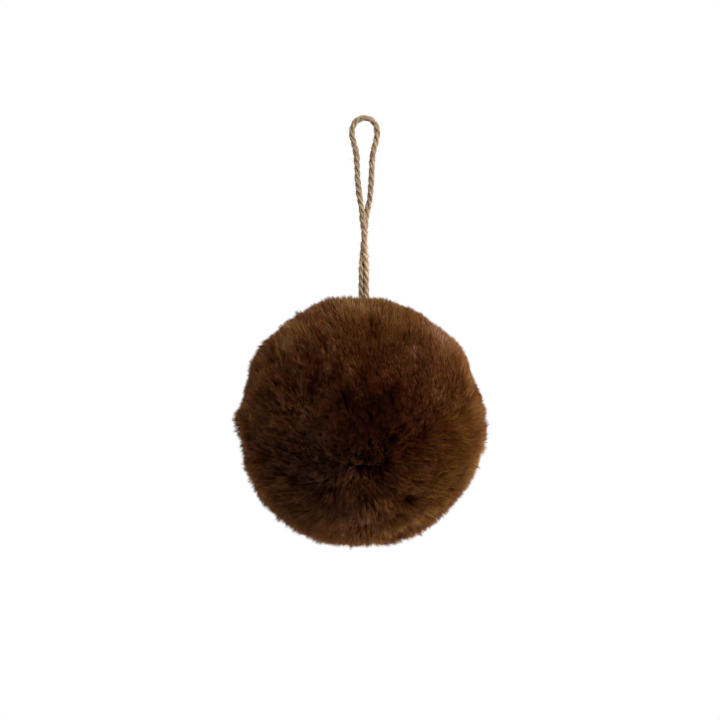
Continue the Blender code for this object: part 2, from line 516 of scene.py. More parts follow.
# %% The jute's dull surface
JUTE_SPECULAR = 0.25                        # half the usual: dull and dusty
dull = add_node(tree, "ShaderNodeMapRange", Value=streaks.outputs["Fac"],
                From_Min=0.3, From_Max=0.7, To_Min=0.95, To_Max=0.75)
raised = add_node(tree, "ShaderNodeBump", Strength=0.6, Distance=0.08 * MM,
                  Height=streaks.outputs["Fac"])
fill(shader, Base_Color=jute_colour, Roughness=dull.outputs["Result"],
     Normal=raised.outputs["Normal"], Specular_IOR_Level=JUTE_SPECULAR)
twine_mesh.materials.clear()
twine_mesh.materials.append(jute)
print("nodes of the jute:", len(tree.nodes))

# %% [markdown]
# ## The twine's loose hairs
#
# Jute is never smooth: fibre ends stand off the yarn all along it and blur its outline.
# They start on the outer side of a ply, lie back along the twine one way or the other,
# and most are well under two millimetres long.  Real ones are about a tenth of a picture
# pixel thick, so these are drawn wider and there are fewer of them.

# %% The loose hairs
HAIRS = 3_000
HAIR_WIDTH = 0.07 * MM                      # real ones are 0.02 to 0.05 mm
HAIR_ROOTS_FROM = -72.0 * MM                # none below the top of the pile
HAIR_SHORTEST = 0.3 * MM
HAIR_USUAL = 0.5 * MM                       # more than that, and now and then a lot more
HAIR_LONGEST = 2.4 * MM
HAIR_BEND = 0.5                             # of the way along a hair
HAIR_CROOK = 0.12                           # of its length: how far the bend is off its line
HAIR_ROOT = 0.9                             # of a ply's radius, from the ply's middle
HAIR_SPREAD = 0.5                           # of the roots, round the outer side of a ply
HAIR_LIE = (0.3, 1.4)                       # along the twine, for each step outwards
HAIR_STRAY = 0.25                           # of its way, to any side

loose_jute, tree, shader = new_material("loose_jute_fibre")
strip = add_node(tree, "ShaderNodeUVMap", {"uv_map": "OFBake"})
parts = add_node(tree, "ShaderNodeSeparateXYZ", Vector=strip.outputs["UV"])
tan = add_node(tree, "ShaderNodeValToRGB", Fac=parts.outputs["X"],
               stops=((0.0, "#7a6248"), (0.5, "#a48c6c"), (1.0, "#cdb898")))
dull = add_node(tree, "ShaderNodeMapRange", Value=parts.outputs["Y"], To_Min=0.7, To_Max=0.9)
fill(shader, Base_Color=tan.outputs["Color"], Roughness=dull.outputs["Result"],
     Specular_IOR_Level=JUTE_SPECULAR)

draw = np.random.default_rng(3)
above = np.flatnonzero(centreline[:, 2] > HAIR_ROOTS_FROM)
ring = draw.choice(above, HAIRS)
start = np.array(ply_lines)[draw.integers(0, PLIES, HAIRS), ring]
outside = unit(unit(start - centreline[ring]) + draw.normal(0, HAIR_SPREAD, (HAIRS, 3)))
start = start + HAIR_ROOT * PLY_RADIUS * outside
lying = draw.uniform(*HAIR_LIE, HAIRS) * draw.choice((-1, 1), HAIRS)
away = unit(outside + lying[:, None] * tangent[ring] + draw.normal(0, HAIR_STRAY, (HAIRS, 3)))
long = np.minimum(HAIR_SHORTEST + draw.exponential(HAIR_USUAL, HAIRS), HAIR_LONGEST)[:, None]
middle = start + away * long * HAIR_BEND + draw.normal(0, HAIR_CROOK, (HAIRS, 3)) * long
end = start + away * long
widths = HAIR_WIDTH * draw.uniform(0.6, 1.3, HAIRS)
shades = draw.uniform(0.05, 0.95, HAIRS)
hairs = fibres("twine_hairs", (start, middle, end), outside, widths, shades, np.ones(HAIRS),
               np.full(HAIRS, HAIR_BEND), made_of=loose_jute, seed=5)
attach(hairs, "root")
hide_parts("hanging_loop")
print("hairs:", HAIRS, "longest in mm:", round(float(long.max()) / MM, 2))

# %% [markdown]
# ## The pile
#
# The real ball is a round of pile fabric: acrylic fibres locked into a thin knitted
# cloth, which is gathered over stuffing, combed up and clipped round.  Nothing of the
# cloth shows.  What shows is where the fibres end, how they lean together, and the dark
# gaps between them.  So the coat is built in three sizes: locks about 2.5 mm apart, tufts
# 0.8 mm apart, and ten fibres to a tuft.  All of it is arithmetic on arrays with one row
# for each lock, tuft or fibre, which stays quick for nearly half a million of them.
#
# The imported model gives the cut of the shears.  Its surface is the clipped outside of the
# ball, so a ray from the middle finds how far the tips reach in any direction.

# %% The pile's envelope, read from the model
cad_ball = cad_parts["fur_ball"]
envelope = BVHTree.FromPolygons([v.co.copy() for v in cad_ball.data.vertices],
                                [tuple(p.vertices) for p in cad_ball.data.polygons])


def envelope_radius(directions):
    """How far the clipped pile reaches from the ball's centre, for many directions."""
    return np.array([envelope.ray_cast(BALL_CENTRE, Vector(direction))[3]
                     for direction in directions])


def even_directions(count):
    """Directions spread evenly over the ball, like the seeds of a sunflower."""
    index = np.arange(count) + 0.5
    up = 1 - 2 * index / count
    turn = index * math.pi * (3 - math.sqrt(5))
    flat = np.sqrt(1 - up ** 2)
    return np.column_stack((flat * np.cos(turn), flat * np.sin(turn), up))


def smooth_noise(ways, wavelength, channels, seed, waves=14):
    """Smooth random values of about unit size over the ball."""
    draw = np.random.default_rng(seed)
    pitch = 2 * math.pi * BALL_RADIUS / wavelength
    total = np.zeros((len(ways), channels))
    for _ in range(waves):
        heading = unit(draw.normal(size=(channels, 3))) * pitch
        heading *= draw.uniform(0.6, 1.4, (channels, 1))
        total += np.sin(ways @ heading.T + draw.uniform(0, 2 * math.pi, channels))
    return total * math.sqrt(2 / waves)


cut = envelope_radius(even_directions(500)) / MM
print("the cut is", round(cut.min(), 1), "to", round(cut.max(), 1), "mm from the middle")

# %% [markdown]
# ## Locks and tufts
#
# Pile that has been handled clings together.  Neighbouring fibres gather in tufts that
# come to a common end, and neighbouring tufts in locks that lean the same way.  Each lock
# draws its own lean, height, lightness and pull towards its middle, and each tuft adds a
# little of its own.  One tuft in a hundred escaped the shears.

# %% Locks, and the tufts in them
LOCKS = 5_000
TUFTS = 45_000

random = np.random.default_rng(7)


def scattered(count):
    """Uneven directions over the ball, and the usual distance between two of them."""
    step = math.sqrt(4 * math.pi / count) * BALL_RADIUS
    stray = random.normal(0, 0.35 * step / BALL_RADIUS, (count, 3))
    return unit(even_directions(count) + stray), step


lock_way, LOCK_STEP = scattered(LOCKS)
tuft_way, TUFT_STEP = scattered(TUFTS)
nearest = KDTree(LOCKS)
for number, way in enumerate(lock_way):
    nearest.insert(way, number)
nearest.balance()
lock = np.array([nearest.find(way)[1] for way in tuft_way])
from_lock = (tuft_way - lock_way[lock]) * BALL_RADIUS
print("locks:", LOCKS, "spaced in mm:", round(LOCK_STEP / MM, 2))
print("tufts:", TUFTS, "spaced in mm:", round(TUFT_STEP / MM, 2))

# %% [markdown]
# The coat isn't equally ruffled all over.  One side was brushed smooth and shows almost
# no tufts, and low on the right it is rough.  UNREST holds those places, in millimetres
# right and up of the ball's middle as seen from the front, with a size.  Each is felt
# fully at its middle and fades out smoothly, as the places of the later tables do too.

# %% How ruffled the coat is
def away_from(ways, right, up, size):
    """How far ways are from a place on the front, as steps of its size."""
    across = np.array((right, up)) * MM / BALL_RADIUS
    ahead = math.sqrt(max(0.0, 1 - across @ across))
    return (ways - (across[0], -ahead, across[1])) * BALL_RADIUS / (size * MM)


def closeness(away):
    """How much of a place is felt that far away: all of it at its middle, a third of it
    one size away and next to nothing at two."""
    return np.exp(-(away ** 2).sum(axis=1))


UNREST = (
    # name                      right    up   size  amount
    ("brushed smooth",           27.0,  24.0, 30.0, -0.93),
    ("calm below the twine",     -6.0,  32.0, 12.0, -0.30),
    ("calm left of the middle", -16.0,  -2.0, 10.0, -0.40),
    ("calm below the middle",    -2.0, -18.0, 14.0, -0.35),
    ("ruffled low right",        22.0, -28.0, 11.0,  0.70),
    ("ruffled at the left",     -30.0,  20.0, 10.0,  0.30),
)
unrest = np.ones(TUFTS)
for name, right, up, size, amount in UNREST:
    unrest += amount * closeness(away_from(tuft_way, right, up, size))
print("the unrest is", round(unrest.min(), 2), "to", round(unrest.max(), 2))

# %% What each lock and tuft draws
LOCK_LEAN = 0.70 * MM                       # of its tips, every way
LOCK_RISE = 0.22 * MM                       # up or down, and some of them also
LOCK_FLUFF = 0.18 * MM                      # further up
LOCK_TONE = 0.03
LOCK_GATHER = 0.3                           # at most, of the way to the lock's middle
TUFT_LEAN = 0.95 * MM
TUFT_RISE = 0.17 * MM
TUFT_TONE = 0.02
TUFT_GATHER = (0.45, 0.85)                  # of its fibres' way to their common end
STRAYS = 0.01                               # of the tufts escaped the shears, and stand
STRAY_RISE = 0.5 * MM                       # this much higher or so,
STRAY_HIGHEST = 1.0 * MM                    # but never more than this
USUAL_TONE = 0.32                           # 0 is a dye's darkest, 1 its lightest

lock_lean = random.normal(0, LOCK_LEAN, (LOCKS, 3))
lock_rise = random.normal(0, LOCK_RISE, LOCKS) + random.exponential(LOCK_FLUFF, LOCKS)
lock_tone = random.normal(0, LOCK_TONE, LOCKS)
lock_gather = random.uniform(0.0, LOCK_GATHER, LOCKS)
stray = random.random(TUFTS) < STRAYS
tuft_rise = lock_rise[lock] + random.normal(0, TUFT_RISE, TUFTS)
tuft_rise += stray * np.minimum(random.exponential(STRAY_RISE, TUFTS), STRAY_HIGHEST)
tuft_rise *= np.minimum(unrest, 1)          # how far its tips stand proud of the clipped ball
tuft_lean = lock_lean[lock] + random.normal(0, TUFT_LEAN, (TUFTS, 3))
tuft_lean = unrest[:, None] * (tuft_lean - lock_gather[lock, None] * from_lock)
tuft_tone = USUAL_TONE + unrest * (lock_tone[lock] + random.normal(0, TUFT_TONE, TUFTS))
tuft_gather = np.minimum(unrest, 1) * random.uniform(*TUFT_GATHER, TUFTS)
print("tufts that escaped the shears:", stray.sum())

# %% [markdown]
# ## The nap
#
# Pile never stands quite upright.  It keeps the way it was last combed or stroked, and
# that is what gives the ball its swirls.  On the front it points up and out over the top
# half, outwards at the sides and down at the bottom, with a quiet place a little below
# the middle where all these ways part.  Each row of COMBING says, for one place, which
# way the tips point across the picture, and between the rows they take the mean of those
# nearby.  Where the rows agree the fibres lie over, and where they pull apart they stand
# up and stray.  Towards the sides the table fades out.

# %% How the front is combed
COMBING = (
    # name                      right    up   size  the way that the tips point
    ("crown, left",             -12.0,  36.0,  8.0,  115),      # degrees from the right
    ("crown, right",             10.0,  36.0,  8.0,   75),
    ("left shoulder",           -30.0,  26.0,  9.0,  110),
    ("left side, high",         -36.0,  14.0,  8.0,  130),
    ("high, left of the middle", -16.0, 18.0,  8.0,   98),
    ("above the middle",          4.0,  20.0,  9.0,  108),
    ("right shoulder",           30.0,  22.0, 12.0,   85),
    ("left side",               -34.0,  -2.0,  8.0,  150),
    ("left of the middle",      -20.0,  -2.0,  7.0,  125),
    ("the middle",                0.0,  -2.0,  9.0,  105),
    ("right of the middle",      18.0,   2.0,  8.0,   75),
    ("right side, high",         36.0,   8.0,  7.0,   55),
    ("right side",               38.0,  -6.0,  6.0,  -15),
    ("left, low",               -28.0, -18.0,  9.0,  170),
    ("right, low",               20.0, -14.0,  8.0,  -20),
    ("right side, low",          34.0, -22.0,  8.0,   -5),
    ("low left",                -24.0, -30.0,  8.0,  200),
    ("below, left",             -10.0, -32.0,  7.0,  258),
    ("below, right",              6.0, -32.0,  6.0,  285),
    ("low right",                20.0, -28.0,  8.0,  335),
)
PILE_LENGTH = 12.0 * MM
UPRIGHT_PULL = 0.1                          # of pile that no row reaches: it points outwards
LEAST_LEAN = 5.0 * MM                       # across the picture, where the rows agree
WHORL = 0.9 * MM                            # of stray lean where they pull apart,
WHORL_SIZE = 9 * MM                         # in waves of this length
FRONT_EDGE = 0.05                           # of the radius, in front of the ball's middle,
FRONT_FADE = 0.35                           # and how much further on the table holds fully

outward = tuft_way[:, (0, 2)] * PILE_LENGTH             # how an upright fibre looks
pull = UPRIGHT_PULL * unit(outward)
total = UPRIGHT_PULL
for name, right, up, size, angle in COMBING:
    weight = closeness(away_from(tuft_way, right, up, size * math.sqrt(2)))[:, None]
    angle = math.radians(angle)
    pull += weight * (math.cos(angle), math.sin(angle))
    total = total + weight
pull /= total
agreed = np.linalg.norm(pull, axis=1, keepdims=True)
heading = pull / agreed
along = np.maximum((outward * heading).sum(axis=1, keepdims=True), LEAST_LEAN * agreed ** 2)
front = np.clip((-tuft_way[:, 1:2] - FRONT_EDGE) / FRONT_FADE, 0, 1)
tuft_lean[:, (0, 2)] += front * (along * heading - outward)
tuft_lean += WHORL * front * (1 - agreed) * smooth_noise(tuft_way, WHORL_SIZE, 3, seed=33)
lie = np.linalg.norm(tuft_lean[front[:, 0] > 0.5], axis=1).mean()
print("the front leans by", round(lie / MM, 1), "mm on", PILE_LENGTH / MM, "mm of pile")

# %% [markdown]
# The sides and the back can't be seen from the front, but they were combed by the same
# hand.  Smooth random noise gives them swirls of their own, three centimetres across, and
# smaller ones of a centimetre everywhere.

# %% Swirls that are left to chance
SWIRL, SWIRL_SIZE = 2.0 * MM, 34 * MM       # how far the tips lean, and the swirls' size
RIPPLE, RIPPLE_SIZE = 0.9 * MM, 10 * MM
tuft_lean += SWIRL * (1 - front) * smooth_noise(tuft_way, SWIRL_SIZE, 3, seed=31)
tuft_lean += RIPPLE * unrest[:, None] * smooth_noise(tuft_way, RIPPLE_SIZE, 3, seed=32)
shown_way = unit(tuft_way + tuft_lean / BALL_RADIUS)    # where the tips show
lie = np.linalg.norm(tuft_lean[front[:, 0] < 0.5], axis=1).mean()
print("the sides and the back lean by", round(lie / MM, 1), "mm")

# %% [markdown]
# ## Places and bumps
#
# No two of these balls are alike.  PLACES lists what is on the front of this one:
# partings and pits where the tips spread, a cowlick where they gather, and patches of
# lighter, redder or greyer fibre.  Much of its tone is painted light and shade: the
# partings, pits, hollows and notch, the shade round the low fold, the dark middle and the
# dark left side are painted shade, the lighter edges round the outline, the fold's crest and
# the cowlick's hairs are painted light, the grey low on the left is painted sheen, and the
# pale patch high on the right is a painted highlight.  A row says where it is and how wide,
# in millimetres, then how far the tips spread, how high they rise, and how much lighter,
# redder or greyer they are.  It means the tufts whose tips show there, because the nap
# carries them some millimetres from their roots.
#
# RIM does the same for the outline, by the turn round the ball from the right: flats that
# the shears cut too deep, bumps that they missed, and a few tufts that stick out.

# %% Places on the front
PLACES = (
    # name                   right    up   size  spread  rise   tone   red    ash
    # painted shade: the next two rows darken the parting under the twine
    ("parting at the twine",   3.0,  40.0,  4.0,   1.2, -0.5, -0.20,  0.0,   0.0),
    ("dark parting below it",  4.0,  36.0,  3.0,   0.8, -0.3, -0.15,  0.0,   0.0),
    # painted light: the top edge is made lighter where the light falls on it
    ("light top edge",         0.0,  48.0, 10.0,   0.0,  0.0,  0.28,  0.0,   0.0),
    # painted highlight: a broad pale, pinkish shine high on the right
    ("painted highlight high right",            31.0,  35.0,  6.0,   0.0,  0.2,  0.50,  0.30,  0.30),
    ("dark left of it",       24.0,  32.0,  4.0,   0.0,  0.0, -0.12,  0.0,   0.0),
    # the cowlick's hairs stand proud, and their lighter, greyer tone is painted light on them
    ("cowlick, high hairs",   20.0,  30.0,  1.0,  -0.5,  0.4,  0.35,  0.0,   0.40),
    ("cowlick, middle hairs", 19.5,  27.0,  1.2,  -0.5,  0.4,  0.35,  0.0,   0.40),
    ("cowlick, low hairs",    20.0,  22.5,  1.2,  -0.5,  0.4,  0.40,  0.2,   0.40),
    # painted shadow beside the cowlick's ridge
    ("dark beside it",        23.5,  25.0,  3.0,   0.0, -0.2, -0.20,  0.1,   0.0),
    ("light wedge",           13.0,  23.0,  6.0,   0.0,  0.0,  0.18,  0.0,   0.0),
    ("light right of it",     27.0,  14.0,  6.0,   0.0,  0.0,  0.10,  0.0,   0.0),
    # painted shade in the pit
    ("pit lower right",       20.5, -31.0,  3.2,   2.2, -1.0, -0.26,  0.0,   0.0),
    # the fold's lock: golden fibre, and its lightness is painted light on the fold's crest
    ("low fold, start",       10.0, -44.5,  2.0,   0.0,  0.4,  0.30,  0.0,  -0.30),
    ("low fold, second",      16.0, -42.0,  2.2,   0.0,  0.6,  0.38,  0.0,  -0.30),
    ("low fold, third",       22.0, -39.5,  2.4,   0.0,  0.6,  0.38,  0.0,  -0.30),
    ("low fold, fourth",      29.0, -36.0,  2.6,   0.0,  0.5,  0.35,  0.0,  -0.30),
    ("low fold, end",         34.5, -31.0,  3.0,   0.0,  0.3,  0.25,  0.0,  -0.30),
    # painted shade over and under the fold: this row and the three below it
    ("shade over its middle", 16.0, -37.5,  2.6,   0.0, -0.4, -0.18,  0.0,   0.0),
    ("shade over its end",    26.0, -32.5,  2.4,   0.0, -0.3, -0.12,  0.0,   0.0),
    ("shade under the fold",  15.0, -46.0,  3.0,   0.0, -0.5, -0.30,  0.0,   0.0),
    ("shade at its end",      24.0, -43.0,  2.5,   0.0, -0.4, -0.25,  0.0,   0.0),
    ("light tufts low right", 24.0, -22.0,  5.0,   0.0,  0.1,  0.12,  0.0,   0.0),
    # painted shade above the fold
    ("dark above the fold",    8.0, -40.0,  4.5,   0.0, -0.2, -0.22,  0.0,   0.0),
    ("swirl low middle",      -1.0, -38.0,  4.0,   0.6, -0.1,  0.08,  0.0,   0.0),
    ("red wisp",              -6.0, -21.0,  3.0,  -0.8,  0.3,  0.10,  0.5,   0.0),
    ("tufts over a gap",     -22.0,   5.0,  4.0,  -0.8,  0.1,  0.05,  0.0,   0.0),
    # painted shade in hollows, a hole and a pit: this row and the three below it
    ("dark hollow left",     -26.0, -22.0,  5.0,   0.4, -0.4, -0.20,  0.0,   0.0),
    ("dark hollow high",     -18.0,  14.0,  3.0,   0.4, -0.2, -0.10, -0.1,   0.30),
    ("small dark hole",       12.0,  -5.0,  1.5,   0.6, -0.4, -0.20,  0.0,   0.0),
    ("dark pit at the right",    37.0,  -6.0,  2.5,   0.8, -0.4, -0.15,  0.0,   0.0),
    # painted shade: the middle of the front is darkened, and the next row with it
    ("dark heart",             0.0,   3.0,  9.0,   0.0, -0.2, -0.24,  0.0,   0.0),
    ("dark right of it",      11.0,  10.0,  7.0,   0.0,  0.0, -0.12,  0.0,   0.0),
    ("light beside the heart", 16.5, -0.5,  3.5,   0.0,  0.1,  0.20,  0.0,   0.0),
    ("light in the whorl",     4.0,  -8.0,  5.5,   0.0,  0.1,  0.18,  0.0,   0.0),
    ("light tuft below it",    0.0, -16.0,  3.5,   0.0,  0.1,  0.18,  0.0,   0.0),
    # painted shade in a hollow
    ("dark hollow low",        8.0, -17.0,  4.5,   0.2, -0.1, -0.20,  0.0,   0.0),
    ("light high left",      -11.0,  25.0,  8.0,   0.0,  0.0,  0.16,  0.0,   0.0),
    ("light strands left",   -18.0,   3.0,  9.0,   0.0,  0.0,  0.15,  0.0,   0.0),
    ("light below them",     -24.0,  -9.0,  4.0,   0.0,  0.0,  0.15,  0.0,   0.0),
    ("light strands right",   16.0, -14.0,  4.5,   0.0,  0.0,  0.22,  0.0,   0.0),
    ("light below the heart", -7.0, -24.0,  4.5,   0.0,  0.0,  0.22,  0.0,   0.0),
    ("dark left of that",    -17.0, -25.0,  4.0,   0.0,  0.0, -0.12,  0.0,   0.0),
    ("light at the bottom",   -7.0, -40.0,  3.5,   0.0,  0.0,  0.15,  0.0,   0.0),
    # painted rim light round the outline: this row and the six below it
    ("light shoulder left",  -28.0,  35.0,  9.0,   0.0,  0.0,  0.25,  0.0,   0.0),
    ("light edge left",      -47.0,   7.0,  5.0,   0.0,  0.0,  0.20,  0.0,   0.0),
    ("light edge low left",  -48.0,  -8.0,  4.5,   0.0,  0.0,  0.50,  0.0,  -0.20),
    ("light edge right",      49.0,   4.0,  7.0,   0.0,  0.0,  0.14, -0.1,   0.0),
    ("light edge low right",  46.0, -16.0,  6.0,   0.0,  0.0,  0.15, -0.1,   0.0),
    ("light shoulder right",  44.0,  18.0,  5.0,   0.0,  0.0,  0.20, -0.1,   0.0),
    ("light edge below",       3.0, -49.0,  6.0,   0.0,  0.0,  0.18, -0.1,   0.0),
    # painted shade on the left, away from the light: this row and the next
    ("dark left cheek",      -38.0,   8.0,  8.0,   0.0,  0.0, -0.12,  0.0,   0.0),
    ("dark edge left",       -40.0, -10.0, 11.0,   0.0,  0.0, -0.20,  0.0,   0.0),
    # painted shade in the notch
    ("dark notch right",      41.0,   8.5,  5.0,   0.0, -0.2, -0.27,  0.0,   0.0),
    ("dark low middle",        9.0, -27.0,  6.0,   0.0, -0.1, -0.22,  0.0,   0.0),
    ("dark low left",        -12.0, -35.0,  6.0,   0.0,  0.0, -0.18,  0.0,   0.0),
    # painted shade low on the left, away from the light
    ("dark edge low left",   -28.0, -36.0,  9.0,   0.0,  0.0, -0.24,  0.0,   0.0),
    ("golden cheek",          35.0, -23.0, 14.0,   0.0,  0.0, -0.12, -0.15, -0.30),
    ("golden right side",     38.0,   4.0, 15.0,   0.0,  0.0,  0.10,  0.0,  -0.30),
    # golden fibre, and its added lightness is painted light on the top
    ("golden top, painted light",             4.0,  38.0, 12.0,   0.0,  0.0,  0.15,  0.1,  -0.30),
    # russet fibre, and its darker tone is painted shade in the middle
    ("russet middle, painted shade",          6.0,   4.0, 26.0,   0.0,  0.0, -0.15,  0.60, -0.30),
    ("russet high left",     -22.0,  23.0, 14.0,   0.0,  0.0,  0.0,   0.20,  0.0),
    # painted sheen, greyer, and painted shade, darker, low on the left
    ("painted sheen and shade low left",       -19.0, -18.0, 20.0,   0.0,  0.0, -0.20, -0.25,  0.70),
    ("ashen wisps below",      0.0, -39.0,  8.0,   0.0,  0.0,  0.05,  0.0,   0.40),
)
USUAL_RED = 0.20                            # of all fibres are russet
USUAL_ASH = 0.30                            # of them are ashen
TO_FURTHEST = 2.3                           # so that spread is the furthest that a tip moves
tuft_red = np.full(TUFTS, USUAL_RED)
tuft_ash = np.full(TUFTS, USUAL_ASH)
for name, right, up, size, spread, rise, tone, red, ash in PLACES:
    away = away_from(shown_way, right, up, size)
    weight = closeness(away)
    tuft_lean += (spread * MM * TO_FURTHEST * weight)[:, None] * away
    tuft_rise += rise * MM * weight
    tuft_tone += tone * weight
    tuft_red += red * weight
    tuft_ash += ash * weight
print("places on the front:", len(PLACES))

# %% The outline's bumps
RIM = (
    # turn  size  rise    bumps and dips of the outline, by their turn from the right
    ( 20,   4.0, -1.40),
    ( 36,   6.0,  0.70),
    ( 52,   4.0, -0.80),
    ( 70,   3.0, -0.40),
    ( 80,   3.0,  0.60),
    (105,   3.0,  0.50),
    (117,   4.0, -0.90),
    (123,   1.5, -1.20),
    (131,   4.0, -1.00),
    (146,   5.0, -1.10),
    (163,   7.0, -1.60),
    (176,   2.5,  1.10),
    (184,   3.0,  0.70),
    (191,   3.0, -0.40),
    (206,   0.9,  1.20),                    # three spiky tufts
    (209,   0.9,  1.50),
    (213,   0.9,  1.10),
    (212,   9.0,  0.60),
    (240,   3.0, -0.40),
    (264,  12.0,  0.70),
    (267,   1.0,  3.20),                    # and one stray
    (294,   5.0,  1.10),
    (326,  16.0,  0.60),
    (336,   3.0, -0.60),
    (347,   5.0,  1.10),
)
DIP_DEPTH = 12.0                            # mm front to back: a shorter dip is hidden
for turn, size, rise in RIM:
    turn = math.radians(turn)
    away = (tuft_way - (math.cos(turn), 0.0, math.sin(turn))) * BALL_RADIUS / MM
    away /= (size, max(size, DIP_DEPTH) if rise < 0 else size, size)
    tuft_rise += rise * MM * closeness(away)
print("bumps and dips of the outline:", len(RIM))

# %% [markdown]
# The shears also left small waves all over, and on the sides and the back whole locks
# that are too long.  Those that stand on the outline make it finely uneven.  With that,
# every tuft's reach is known: the cut in the direction of its tip, and its own rise.

# %% Long locks, and how far the tips reach
CUT_WAVES, CUT_WAVE_SIZE = 0.10 * MM, 9 * MM
MISSED = 0.45 * MM                          # how much too long a lock of the sides often is
MISSED_MOST = 0.9 * MM
SIDES_LOWER = 0.65 * MM                     # so that long locks don't make the ball bigger
PALE_WAVES, PALE_WAVE_SIZE = 0.04, 14 * MM  # broad light and dark places in the tone
tuft_rise += CUT_WAVES * smooth_noise(tuft_way, CUT_WAVE_SIZE, 1, seed=20)[:, 0]
missed = np.minimum(random.exponential(MISSED, LOCKS), MISSED_MOST)
tuft_rise += (1 - front[:, 0]) * unrest * (missed[lock] - SIDES_LOWER)
tuft_tone += PALE_WAVES * smooth_noise(tuft_way, PALE_WAVE_SIZE, 1, seed=41)[:, 0]
tuft_reach = envelope_radius(unit(tuft_way + tuft_lean / BALL_RADIUS)) + tuft_rise
print("tips reach", round(tuft_reach.min() / MM, 1), "to", round(tuft_reach.max() / MM, 1), "mm")

# %% [markdown]
# ## The fibres of the tufts
#
# Ten fibres start round a tuft's root and gather towards its tip, each with a small lean
# of its own.  Four in ten end within a hair of the cut.  The others are broken or were
# never as long, and fill the depth below, so that the gaps between the tufts are dark but
# never empty.  Where the coat is brushed smooth nearly all of them reach the top.
#
# A real ball of this size has millions of fibres 0.03 mm thick.  These are five times as
# thick and there are far fewer of them, because a picture pixel covers 0.4 mm and nothing
# finer shows.

# %% How long and how light each fibre is
FIBRES = 450_000
FIBRE_LEAN = 0.28 * MM                      # of its tip, on top of its tuft's
ROOT_SPREAD = 0.45 * TUFT_STEP              # of a tuft's roots
RAGGED = 0.12 * MM                          # how far short of the cut any fibre may end
SHORT_SHARE = 0.60                          # of the fibres end further down,
SHORT_BY = (0.3 * MM, 5.0 * MM)             # by this much
TIP_EXTRA = 0.20 * MM                       # pointed tips fade out short of their ends
PROUD = 0.5 * MM                            # over the cut: there a tip gets all of the painted light
PROUD_TIP_LIGHT = 0.10                             # of painted light, which makes such a tip this much lighter, for the glow at the outline
FIBRE_TONE = 0.05
EVEN_SHARE = 0.2                            # of that is left where it's brushed smooth

whose = np.arange(FIBRES) % TUFTS
ruffled = np.clip(unrest, 0, 1)[whose]      # 0 where it's brushed smooth
offset = random.normal(0, ROOT_SPREAD, (FIBRES, 3))
lean = tuft_lean[whose] + random.normal(0, FIBRE_LEAN, (FIBRES, 3))
shortfall = np.abs(random.normal(0, RAGGED, FIBRES))
short = random.random(FIBRES) < SHORT_SHARE
shortfall += short * ruffled * random.uniform(*SHORT_BY, FIBRES)
tip_reach = tuft_reach[whose] + TIP_EXTRA - shortfall
root_reach = tuft_reach[whose] - PILE_LENGTH
proud = np.clip((tuft_rise[whose] - shortfall) / PROUD, 0, 1)
uneven_tone = (EVEN_SHARE + (1 - EVEN_SHARE) * ruffled) * random.normal(0, FIBRE_TONE, FIBRES)
# proud tips get painted light on top of their tone
tone = tuft_tone[whose] + PROUD_TIP_LIGHT * proud + uneven_tone
tone = np.clip(tone, 0.02, 0.98)            # clear of the next dye's place in the UV map
print("share that ends within 1 mm of the cut:", round((shortfall < MM).mean(), 2))

# %% The dye of each fibre
RUSSET, GOLD, ASH = range(3)
alone = random.random(FIBRES) > ruffled     # brushed out of its tuft, with a dye of its own
drawn = np.where(alone, random.random(FIBRES), random.random(TUFTS)[whose])
dye_number = np.where(drawn < tuft_red[whose], RUSSET,
                      np.where(drawn > 1 - tuft_ash[whose], ASH, GOLD))
shade = (dye_number + tone) / 3             # the UV map's u: three dyes side by side
print("fibres of each dye:", np.bincount(dye_number))

# %% Where each fibre runs
BENDS = (0.65, 0.92)                        # of the way up a fibre
CURL = 1.8                                  # its lean grows by this power of the way up
bend_share = random.uniform(*BENDS, FIBRES)


def fibre_points(share):
    """Where every fibre is at a share of its length, from 0 at the root to 1."""
    share = np.broadcast_to(share, FIBRES)
    aside = offset * (1 - tuft_gather[whose] * share)[:, None] + lean * (share ** CURL)[:, None]
    way = unit(tuft_way[whose] + aside / BALL_RADIUS)
    reach = root_reach + (tip_reach - root_reach) * share
    return np.array(BALL_CENTRE) + way * reach[:, None]


root, bend, tip = (fibre_points(share) for share in (0.0, bend_share, 1.0))
print("mean fibre in mm:", round(float(np.linalg.norm(tip - root, axis=1).mean()) / MM, 1))

# %% [markdown]
# ## Acrylic pile
#
# Acrylic for fake fur is dyed before it is knitted, and several shades are blended: here
# a russet, a golden brown and an ashen brown.  Each tuft has one of them, and only where
# the coat is brushed smooth they are mixed fibre by fibre.  Each dye has a ramp from dark
# to light, so the three stand side by side along the UV map's u.  Its v is the height on
# the fibre, and fibres darken to a deep red-brown towards the root, where the light hardly
# reaches.  All of this depends on the UV map alone, because all fibres share it when the
# looks are baked.

# %% The dyes of the pile
DYE_STOPS = (0.0, 0.35, 0.7, 1.0)
DYES = (
    # the colours at these stops, from a dye's darkest fibres to its lightest
    ("#3a0e08", "#7c3820", "#9e6040", "#b88864"),       # russet
    ("#47260b", "#8d5f28", "#b28b48", "#cdb080"),       # golden brown
    ("#40241a", "#84583e", "#ac866a", "#ceb09a"),       # ashen brown
)
